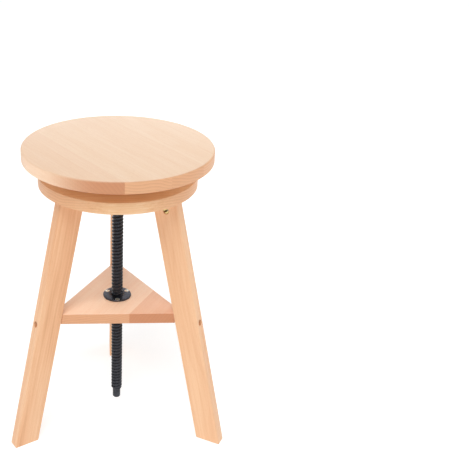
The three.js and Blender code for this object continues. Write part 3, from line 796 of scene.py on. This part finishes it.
class Tree(Nodes):
    def __init__(self, name, inputs):
        super().__init__(bpy.data.node_groups.new(name, "GeometryNodeTree"))
        face = self.tree.interface
        self.sockets = {}
        for label, kind in inputs.items():
            self.sockets[label] = face.new_socket(label, in_out="INPUT", socket_type=kind)
        face.new_socket("Geometry", in_out="OUTPUT", socket_type="NodeSocketGeometry")
        self.entry = self.tree.nodes.new("NodeGroupInput")

    def given(self, label):
        return self.entry.outputs[label]

    def polar(self, radius, angle, height):
        x = self.maths("MULTIPLY", radius, self.maths("COSINE", angle))
        y = self.maths("MULTIPLY", radius, self.maths("SINE", angle))
        return self.add("ShaderNodeCombineXYZ", 0, {0: x, 1: y, 2: height})

    def finish(self, geometry):
        real = self.add("GeometryNodeRealizeInstances", 0, {0: geometry})
        coated = self.add("GeometryNodeSetMaterial", 0, {0: real, "Material": self.given("Finish")})
        end = self.tree.nodes.new("NodeGroupOutput")
        self.tree.links.new(coated, end.inputs[0])

    def grow(self, name, values):
        """Runs the tree with these values and returns the plain mesh as a piece."""
        host = bpy.data.objects.new(name, bpy.data.meshes.new("empty"))
        bpy.context.scene.collection.objects.link(host)
        modifier = host.modifiers.new("tree", "NODES")
        modifier.node_group = self.tree
        for label, value in values.items():
            modifier[self.sockets[label].identifier] = value
        mesh = plain_mesh(host)
        host.modifiers.remove(modifier)
        host.data = mesh
        return finished(host)


# %% The thread tree
FLOAT, INTEGER = "NodeSocketFloat", "NodeSocketInt"
CREST_EDGE, ROOT_EDGE = 0.13, 0.40  # where the flank starts and ends, in pitches from the crest's middle
WELD = 0.004 * MM  # points closer than this become one
thread_tree = Tree("thread", {
    "Foot": FLOAT, "Top": FLOAT, "Crest": FLOAT, "Root": FLOAT, "Pitch": FLOAT,
    "Fade": FLOAT, "Turns": FLOAT, "Sides": INTEGER, "Rows": INTEGER, "Finish": "NodeSocketMaterial",
})


def build_thread(t):
    columns = t.maths("ADD", t.given("Sides"), 1)
    size = {"Size X": 1.0, "Size Y": 1.0, "Vertices X": columns, "Vertices Y": t.given("Rows")}
    grid = t.add("GeometryNodeMeshGrid", "Mesh", size)
    at = t.add("GeometryNodeInputPosition", 0, {})
    column = t.add("ShaderNodeSeparateXYZ", 0, {0: at})
    row = column.node.outputs[1]
    part = t.maths("ADD", column, 0.5)
    angle = t.maths("MULTIPLY", part, FULL_TURN)
    turns_below = t.maths("FLOOR", t.maths("DIVIDE", t.given("Foot"), t.given("Pitch")))
    first_turn = t.maths("SUBTRACT", turns_below, 1.0)
    wound = t.maths("MULTIPLY", t.maths("ADD", row, 0.5), t.given("Turns"))
    phase = t.maths("FRACT", wound)
    turn = t.maths("ADD", t.maths("ADD", wound, part), first_turn)
    height = t.maths("MULTIPLY", turn, t.given("Pitch"))
    height = t.maths("MINIMUM", t.maths("MAXIMUM", height, t.given("Foot")), t.given("Top"))
    off_crest = t.maths("MINIMUM", phase, t.maths("SUBTRACT", 1.0, phase))
    ridge = t.rescale(off_crest, CREST_EDGE, ROOT_EDGE, 1.0, 0.0)
    foot_end = t.maths("ADD", t.given("Foot"), t.given("Fade"))
    top_end = t.maths("SUBTRACT", t.given("Top"), t.given("Fade"))
    rise = t.rescale(height, t.given("Foot"), foot_end, 0.0, 1.0)
    fall = t.rescale(height, top_end, t.given("Top"), 1.0, 0.0)
    ridge = t.maths("MULTIPLY", ridge, t.maths("MULTIPLY", rise, fall))
    depth = t.maths("SUBTRACT", t.given("Crest"), t.given("Root"))
    radius = t.maths("MULTIPLY_ADD", ridge, depth, t.given("Root"))
    wrapped = t.add("GeometryNodeSetPosition", 0, {0: grid, "Position": t.polar(radius, angle, height)})
    disc = {"Vertices": t.given("Sides"), "Radius": t.given("Root")}
    cap = t.add("GeometryNodeMeshCircle", 0, disc, fill_type="NGON")
    lift_low = t.add("ShaderNodeCombineXYZ", 0, {2: t.given("Foot")})
    lift_high = t.add("ShaderNodeCombineXYZ", 0, {2: t.given("Top")})
    low_cap = t.add("GeometryNodeTransform", 0, {0: cap, "Translation": lift_low})
    high_cap = t.add("GeometryNodeTransform", 0, {0: cap, "Translation": lift_high})
    joined = t.add("GeometryNodeJoinGeometry", 0, {0: [wrapped, low_cap, high_cap]})
    t.finish(t.add("GeometryNodeMergeByDistance", 0, {0: joined, "Distance": WELD}))


build_thread(thread_tree)

# %% [markdown]
# ### The rod
#
# The same tree would make any rod, so only the sizes are given here. The thread fades out over a few
# millimetres at each end, as it does where a die starts and stops. Three spare turns are wound and then
# clamped away, so that the grid covers both ends.

# %% The spindle
PITCH = 6.5 * MM
ROOT_RADIUS = 7.4 * MM
ROWS_PER_TURN = 14
SPARE_TURNS = 3
turns = math.ceil((SPINDLE_TOP - SPINDLE_FOOT) / PITCH) + SPARE_TURNS
spindle = thread_tree.grow("spindle_rod", {
    "Foot": SPINDLE_FOOT, "Top": SPINDLE_TOP, "Crest": THREAD_RADIUS, "Root": ROOT_RADIUS,
    "Pitch": PITCH, "Fade": 4 * MM, "Turns": float(turns), "Sides": 40,
    "Rows": turns * ROWS_PER_TURN + 1, "Finish": black_oxide,
})


def recalculated(obj):
    """Merges a piece's doubles and turns all its faces outwards."""
    bm = bmesh.new()
    bm.from_mesh(obj.data)
    bmesh.ops.remove_doubles(bm, verts=bm.verts, dist=WELD)
    bmesh.ops.dissolve_degenerate(bm, edges=bm.edges, dist=0.001 * MM)
    bmesh.ops.recalc_face_normals(bm, faces=bm.faces)
    bm.to_mesh(obj.data)
    bm.free()
    return finished(obj)


recalculated(spindle)
moved(spindle, Matrix.Translation(AXIS))
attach(spindle, "seat")
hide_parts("spindle")
print("spindle faces", len(spindle.data.polygons), "turns", turns)

# %% [markdown]
# ## The spindle's tip
#
# Below the thread the rod ends in a plain turned point with a soft edge. It stays with the rod's lift
# but not with its turn, so it is a piece of its own.

# %% The tip
TIP_RADIUS, TIP_BOTTOM, TIP_TOP = levels("spindle_tip")
TIP_STEM_LENGTH = 12 * MM
TIP_ROUND = 1.6 * MM
tip_shoulder = TIP_TOP - TIP_STEM_LENGTH
tip_outline = [
    *arc(TIP_RADIUS - TIP_ROUND, TIP_BOTTOM + TIP_ROUND, TIP_ROUND, -90, 0, 5),
    (TIP_RADIUS, tip_shoulder - 0.6 * MM),
    (TIP_RADIUS - 0.4 * MM, tip_shoulder),
    (BOLT_SHANK, tip_shoulder),
    (BOLT_SHANK, TIP_TOP),
]
tip = turned("tip", tip_outline, sides=64)
tip.data.materials.append(black_oxide)
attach(tip, "carriage")
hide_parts("spindle_tip")
print("tip faces", len(tip.data.polygons))

# %% [markdown]
# ## The flanged nuts
#
# A nut is a round flange on a short barrel. It is turned from an outline that closes on itself, so that
# it has a bore, and its three screw holes are countersunk so that the screw heads lie flush.

# %% The nuts
NUT_FLANGE = 25 * MM
NUT_FLANGE_THICKNESS = 3 * MM
NUT_BARREL_LENGTH = 17 * MM
NUT_BORE = THREAD_RADIUS + 0.15 * MM


def flanged_nut(node):
    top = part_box(node)[1].z
    under = top - NUT_FLANGE_THICKNESS
    bottom = under - NUT_BARREL_LENGTH
    nut = turned(f"{node}_body", [
        (NUT_BORE + 0.8 * MM, bottom),
        (NUT_BARREL - 0.6 * MM, bottom),
        (NUT_BARREL, bottom + 0.6 * MM),
        (NUT_BARREL, under),
        (NUT_FLANGE - 0.3 * MM, under),
        (NUT_FLANGE, under + 0.3 * MM),
        *arc(NUT_FLANGE - 1.2 * MM, top - 1.2 * MM, 1.2 * MM, 0, 90, 4),
        (NUT_BORE + 3.2 * MM, top),
        (NUT_BORE + 0.9 * MM, top - 0.2 * MM),
        (NUT_BORE, top - 1.1 * MM),
        (NUT_BORE, bottom + 0.8 * MM),
    ], sides=96, bored=True)
    cut(nut, ring_countersinks(NUT_SCREWS, top))
    nut.data.materials.clear()
    nut.data.materials.append(gun_metal)
    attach(nut, "frame")
    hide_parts(node)
    return nut


for node in ("plate_nut", "stretcher_nut"):
    print(node, "faces", len(flanged_nut(node).data.polygons))

# %% [markdown]
# ## The spindle's flange
#
# At its head the spindle is fixed in a steel disc, which is let into the hub and screwed down. It
# can't be seen once the stool is together, but it carries the sitter, so it is made all the same.

# %% The spindle's flange
flange_edge = disc_outline(FLANGE_RADIUS, FLANGE_BOTTOM, FLANGE_TOP, 0.6 * MM, 0.4 * MM)
flange = turned("flange", flange_edge, sides=96)
flange_holes = [through(ROOT_RADIUS, FLANGE_BOTTOM, FLANGE_TOP)]
flange_holes += ring_countersinks(FLANGE_SCREWS, FLANGE_TOP)
cut(flange, flange_holes)
flange.data.materials.clear()
flange.data.materials.append(black_oxide)
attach(flange, "seat")
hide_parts("spindle_flange")
print("flange faces", len(flange.data.polygons))

# %% [markdown]
# ## Fasteners in rings
#
# The stool has nine rings of fasteners round its axis, and each ring is the same part three or four
# times. One tree places them all: it puts a point for each copy on a circle, turns the part to face the
# right way, and swings it round with its point. Each part is modelled once, upright, with its visible
# end at zero.

# %% The ring tree
ring_tree = Tree("ring_of_parts", {
    "Part": "NodeSocketObject", "Count": INTEGER, "Circle": FLOAT, "Phase": FLOAT, "Height": FLOAT,
    "Turn": "NodeSocketRotation", "Finish": "NodeSocketMaterial",
})


def build_ring(t):
    index = t.add("GeometryNodeInputIndex", 0, {})
    step = t.maths("DIVIDE", FULL_TURN, t.given("Count"))
    angle = t.maths("MULTIPLY_ADD", index, step, t.given("Phase"))
    place = t.polar(t.given("Circle"), angle, t.given("Height"))
    points = t.add("GeometryNodePoints", 0, {"Count": t.given("Count"), "Position": place})
    swing = t.add("ShaderNodeCombineXYZ", 0, {2: angle})
    swing = t.add("FunctionNodeEulerToRotation", 0, {0: swing})
    both_turns = {0: t.given("Turn"), 1: swing}
    facing = t.add("FunctionNodeRotateRotation", 0, both_turns, rotation_space="GLOBAL")
    source = {"Object": t.given("Part")}
    part = t.add("GeometryNodeObjectInfo", "Geometry", source, transform_space="ORIGINAL")
    links = {"Points": points, "Instance": part, "Rotation": facing}
    t.finish(t.add("GeometryNodeInstanceOnPoints", 0, links))


build_ring(ring_tree)


def make_ring(name, part, ring, height, turn, finish, body, nodes):
    """One ring of a part as a single piece that stands for these nodes."""
    count, circle, phase = ring
    made = ring_tree.grow(name, {
        "Part": part, "Count": count, "Circle": circle, "Phase": math.radians(phase),
        "Height": height, "Turn": turn, "Finish": finish,
    })
    made.data.materials.clear()
    made.data.materials.append(finish)
    moved(made, Matrix.Translation(AXIS))
    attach(made, body)
    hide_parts(*nodes)
    print(name, "faces", len(made.data.polygons))


# %% [markdown]
# ### The screw, the bolt and the barrel nut
#
# The wood screw has a countersunk head with a cross recess. The bolt has a round head with a hexagon
# socket. The barrel nut is a plain cylinder whose end has a slot, so that a screwdriver can turn its
# thread to meet the bolt.

# %% The three parts


def slab(width, depth, height, taper=1.0):
    """A box with its top at OVERRUN above zero and its foot tapered, used to cut recesses."""
    head = [(x * width / 2, y * depth / 2) for x, y in ((-1, -1), (1, -1), (1, 1), (-1, 1))]
    foot = [(x * taper, y * taper) for x, y in head]
    return to_object("slab", prism(foot, head, -height, OVERRUN))


def wood_screw(length):
    outline = [(0.15 * MM, -length), (SCREW_SHANK, -length + 4 * MM)]
    outline += [
        (SCREW_SHANK, -SCREW_HEAD_HEIGHT - 0.3 * MM),
        (SCREW_HEAD - 0.15 * MM, -0.3 * MM),
        (SCREW_HEAD, -0.15 * MM),
        (SCREW_HEAD - 0.25 * MM, 0),
    ]
    screw = turned("screw", outline, Vector(), 32)
    arm, width = 4.4 * MM, 1.1 * MM
    return cut(screw, [slab(arm, width, 1.4 * MM, 0.55), slab(width, arm, 1.4 * MM, 0.55)])


def socket_bolt(length):
    bolt = turned("bolt", [
        (BOLT_SHANK - 0.6 * MM, -HEAD_HEIGHT - length),
        (BOLT_SHANK, -HEAD_HEIGHT - length + 0.6 * MM),
        (BOLT_SHANK, -HEAD_HEIGHT),
        (BOLT_HEAD - 0.2 * MM, -HEAD_HEIGHT),
        (BOLT_HEAD, -HEAD_HEIGHT + 0.2 * MM),
        *arc(BOLT_HEAD - 0.7 * MM, -0.7 * MM, 0.7 * MM, 0, 90, 4),
    ], Vector(), 48)
    socket = turned("socket", [(2.9 * MM, -3 * MM), (2.9 * MM, OVERRUN)], Vector(), 6)
    return cut(bolt, [socket])


SLOT_WIDTH = 3 * MM
SLOT_DEPTH = 7 * MM


def barrel_nut():
    body = turned("barrel_nut", [
        (BARREL_NUT - 0.4 * MM, -BARREL_NUT_LENGTH),
        (BARREL_NUT, -BARREL_NUT_LENGTH + 0.4 * MM),
        (BARREL_NUT, -0.4 * MM),
        (BARREL_NUT - 0.4 * MM, 0),
    ], Vector(), 48)
    return cut(body, [slab(3 * BARREL_NUT, SLOT_WIDTH, SLOT_DEPTH)])


# %% [markdown]
# ### Placing the rings
#
# Each ring's circle, first angle and height come from the node that it replaces. A turn lays the part
# over before it is swung round: head down for screws from below, head outwards for the side bolts, and
# on its side for the barrel nuts in the faces of the legs.

# %% Place the screws
UPRIGHT = (0.0, 0.0, 0.0)
HEAD_DOWN = (math.pi, 0.0, 0.0)
HEAD_OUT = (0.0, math.pi / 2, 0.0)
FACE_ASIDE = (math.pi / 2, 0.0, 0.0)


def numbered(stem, count):
    return [f"{stem}_{i + 1}" for i in range(count)]


def per_leg(stem):
    return [f"{stem}_{side}" for side in LEG_ANGLES]


def height_of(node):
    low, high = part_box(node)
    return high.z - low.z


hub_screw = wood_screw(height_of("hub_screw_1"))
nut_screw = wood_screw(height_of("plate_nut_screw_1"))
flange_screw = wood_screw(height_of("flange_screw_1"))
hub_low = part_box("hub_screw_1")[0].z
make_ring("hub_screws", hub_screw, HUB_SCREWS, hub_low, HEAD_DOWN,
          bright_zinc, "seat", numbered("hub_screw", 4))
make_ring("flange_screws", flange_screw, FLANGE_SCREWS, FLANGE_TOP, UPRIGHT,
          bright_zinc, "seat", numbered("flange_screw", 4))
for node in ("plate_nut", "stretcher_nut"):
    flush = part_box(f"{node}_screw_1")[1].z
    make_ring(f"{node}_screws", nut_screw, NUT_SCREWS, flush, UPRIGHT,
              bright_zinc, "frame", numbered(f"{node}_screw", 3))

# %% Place the bolts, barrel nuts and dowels
SLOT_SLANT = math.radians(35)
top_bolt = socket_bolt(height_of("top_bolt_back") - HEAD_HEIGHT)
make_ring("top_bolts", top_bolt, TOP_BOLTS, top_bolt_high, UPRIGHT,
          bright_zinc, "frame", per_leg("top_bolt"))
side_bolt = socket_bolt(SIDE_BOLT_HEAD - side_bolt_tip - HEAD_HEIGHT)
make_ring("stretcher_bolts", side_bolt, (3, SIDE_BOLT_HEAD, 90), STRETCHER_MIDDLE, HEAD_OUT,
          bright_zinc, "frame", per_leg("stretcher_bolt"))

cross_nut = barrel_nut()
cross_nut_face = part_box("stretcher_barrel_nut_back")[0].z
make_ring("stretcher_barrel_nuts", cross_nut, SIDE_NUTS, cross_nut_face, HEAD_DOWN,
          yellow_zinc, "frame", per_leg("stretcher_barrel_nut"))
face_nut = barrel_nut()
nut_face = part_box("top_barrel_nut_back")[1].x
moved(face_nut, Matrix.Translation((0, 0, nut_face)) @ Matrix.Rotation(SLOT_SLANT, 4, "Z"))
make_ring("top_barrel_nuts", face_nut, (3, TOP_NUT_AT.y, 90), TOP_NUT_AT.z, FACE_ASIDE,
          yellow_zinc, "frame", per_leg("top_barrel_nut"))

dowel = turned("dowel", disc_outline(DOWEL, dowel_low, dowel_high, 0.6 * MM, 0.6 * MM), Vector(), 24)
dowel_wood = worn_finish("dowel_wood", tone(226, 180, 138), 0.0, 0.55, 0.05, (900, 900, 60), 120)
make_ring("leg_dowels", dowel, DOWELS, 0.0, UPRIGHT,
          dowel_wood, "frame", per_leg("leg_dowel"))

# %% Throw the patterns away
for pattern in (hub_screw, nut_screw, flange_screw, top_bolt, side_bolt, cross_nut, face_nut, dowel):
    bpy.data.objects.remove(pattern)

# %% [markdown]
# ## Studio
#
# The stool stands on a white floor in a white room. The floor gives off light of its own, so its
# shadows stay faint and the undersides are lit, as on a white table. The room is white near the horizon
# and dim overhead, so the backdrop stays white without flattening the seat. A broad sun from the front
# is the key light, and lamps at both sides and behind keep the boards' faces apart.

# %% Floor and light


def floor():
    shader = Shader("white_floor")
    shader.set(Base_Color=(0.55, 0.55, 0.55, 1), Roughness=0.8, Specular_IOR_Level=0.1)
    shader.set(Emission_Color=(1, 1, 1, 1), Emission_Strength=0.63)
    bm = bmesh.new()
    bmesh.ops.create_grid(bm, x_segments=1, y_segments=1, size=14)
    ground = to_object("floor", bm)
    moved(ground, Matrix.Translation((0, 0, cad_low.z)))
    ground.data.materials.append(shader.material)


STOOL_MIDDLE = AXIS + Vector((0, 0, 0.3))


def lamp(name, kind, power, softness, place):
    """A lamp aimed at the stool. Softness is an area lamp's width in metres or a sun's angle."""
    light = bpy.data.lights.new(name, kind)
    light.energy = power
    setattr(light, "angle" if kind == "SUN" else "size", softness)
    holder = bpy.data.objects.new(name, light)
    holder.location = place
    holder.rotation_euler = (STOOL_MIDDLE - Vector(place)).to_track_quat("-Z", "Y").to_euler()
    bpy.context.scene.collection.objects.link(holder)


def white_room(white_below, dim_above, overhead):
    """A world that is white up to one elevation and dim from another, both in degrees."""
    world = bpy.data.worlds.new("white_room")
    bpy.context.scene.world = world
    world.use_nodes = True
    room = Nodes(world.node_tree)
    direction = room.add("ShaderNodeTexCoord", "Generated", {})
    rise = room.add("ShaderNodeSeparateXYZ", 2, {0: direction})
    low, high = math.sin(math.radians(white_below)), math.sin(math.radians(dim_above))
    background = room.tree.nodes["Background"]
    background.inputs["Color"].default_value = (1, 1, 1, 1)
    room.tree.links.new(room.rescale(rise, low, high, 1.0, overhead), background.inputs["Strength"])


# %% Light the stool
KEY_BEARING, KEY_HEIGHT = -105, math.radians(58)
to_key = level(KEY_BEARING) * math.cos(KEY_HEIGHT) + Vector((0, 0, math.sin(KEY_HEIGHT)))
floor()
white_room(12, 24, 0.15)
lamp("key", "SUN", 1.75, math.radians(36), STOOL_MIDDLE + to_key)
lamp("left", "AREA", 6, 1.6, (-1.7, 0.1, 1.9))
lamp("right", "AREA", 13, 1.6, (1.7, 0.1, 1.9))
lamp("back", "AREA", 12, 2.0, (0, 2.3, 1.5))
bpy.context.scene.view_settings.view_transform = "Standard"
lamps = [item.name for item in bpy.context.scene.objects if item.type == "LIGHT"]
print("lamps:", lamps)

# %% [markdown]
# ## Camera
#
# A long lens, about a metre and a half away and half a metre above the seat, keeps the legs straight.
# The stool stands left of the middle, and `shift_x` slides the picture sideways to put it there, so the
# camera doesn't have to turn away from it.

# %% Camera
CAMERA_OFFSET = Vector((-0.0364, -1.3199, 1.0089))
PAN, PITCH_DOWN, ROLL = 3.31, 25.41, 1.13

camera_data = bpy.data.cameras.new("camera")
camera_data.sensor_width = 36
camera_data.lens = 64.99
camera_data.shift_x = 0.2
camera = bpy.data.objects.new("camera", camera_data)
bpy.context.scene.collection.objects.link(camera)
bpy.context.scene.camera = camera
camera.matrix_world = (
    Matrix.Translation(AXIS + CAMERA_OFFSET)
    @ Matrix.Rotation(math.radians(-PAN), 4, "Z")
    @ Matrix.Rotation(math.radians(90 - PITCH_DOWN), 4, "X")
    @ Matrix.Rotation(math.radians(ROLL), 4, "Z")
)
print("camera at, mm:", [round(v / MM) for v in camera.matrix_world.translation])

# %% [markdown]
# ## Finish

# %% Finish
bpy.context.view_layer.update()
